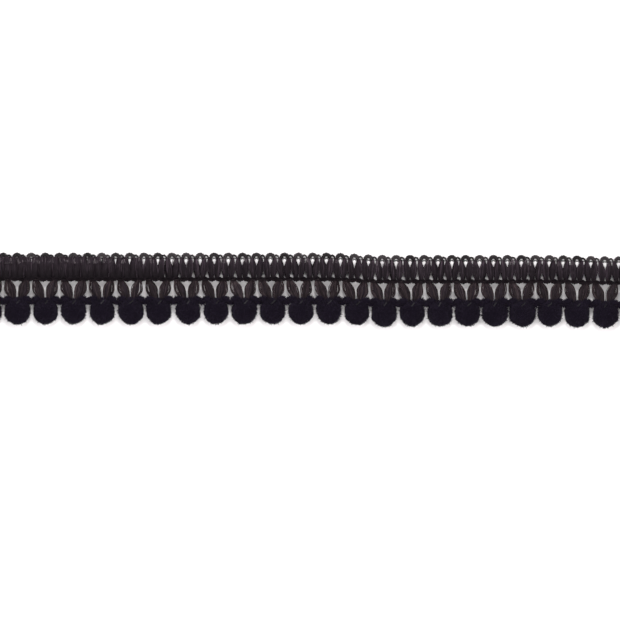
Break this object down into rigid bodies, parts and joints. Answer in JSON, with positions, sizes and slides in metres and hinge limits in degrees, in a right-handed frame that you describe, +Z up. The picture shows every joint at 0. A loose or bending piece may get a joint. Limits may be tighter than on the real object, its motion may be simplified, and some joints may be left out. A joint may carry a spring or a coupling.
{
  "type": "pompom fringe trim",
  "caption": "Cut length of crocheted mini pompom fringe trim: scalloped gimp heading, open mesh of paired loops and a row of sheared pile pompoms tied along its lower edge.",
  "frame": {"origin": "middle of the trim's length and width, on the surface that it lies on", "axes": "+X along the trim, +Y across it towards the scalloped edge, +Z up, out of its front"},
  "size_m": [0.1224, 0.0136, 0.0045],
  "materials": {
    "yarn": "black multifilament yarn, crocheted, with a soft lustre",
    "pile": "black cut pile, matt and velvety"
  },
  "bodies": {
    "root": {"braid": "yarn", "pompom_01": "pile", "pompom_02": "pile", "pompom_03": "pile", "pompom_04": "pile", "pompom_05": "pile", "pompom_06": "pile", "pompom_07": "pile", "pompom_08": "pile", "pompom_09": "pile", "pompom_10": "pile", "pompom_11": "pile", "pompom_12": "pile", "pompom_13": "pile", "pompom_14": "pile", "pompom_15": "pile", "pompom_16": "pile", "pompom_17": "pile", "pompom_18": "pile", "pompom_19": "pile", "pompom_20": "pile", "pompom_21": "pile", "pompom_22": "pile", "pompom_23": "pile", "pompom_24": "pile"}
  },
  "joints": []
}
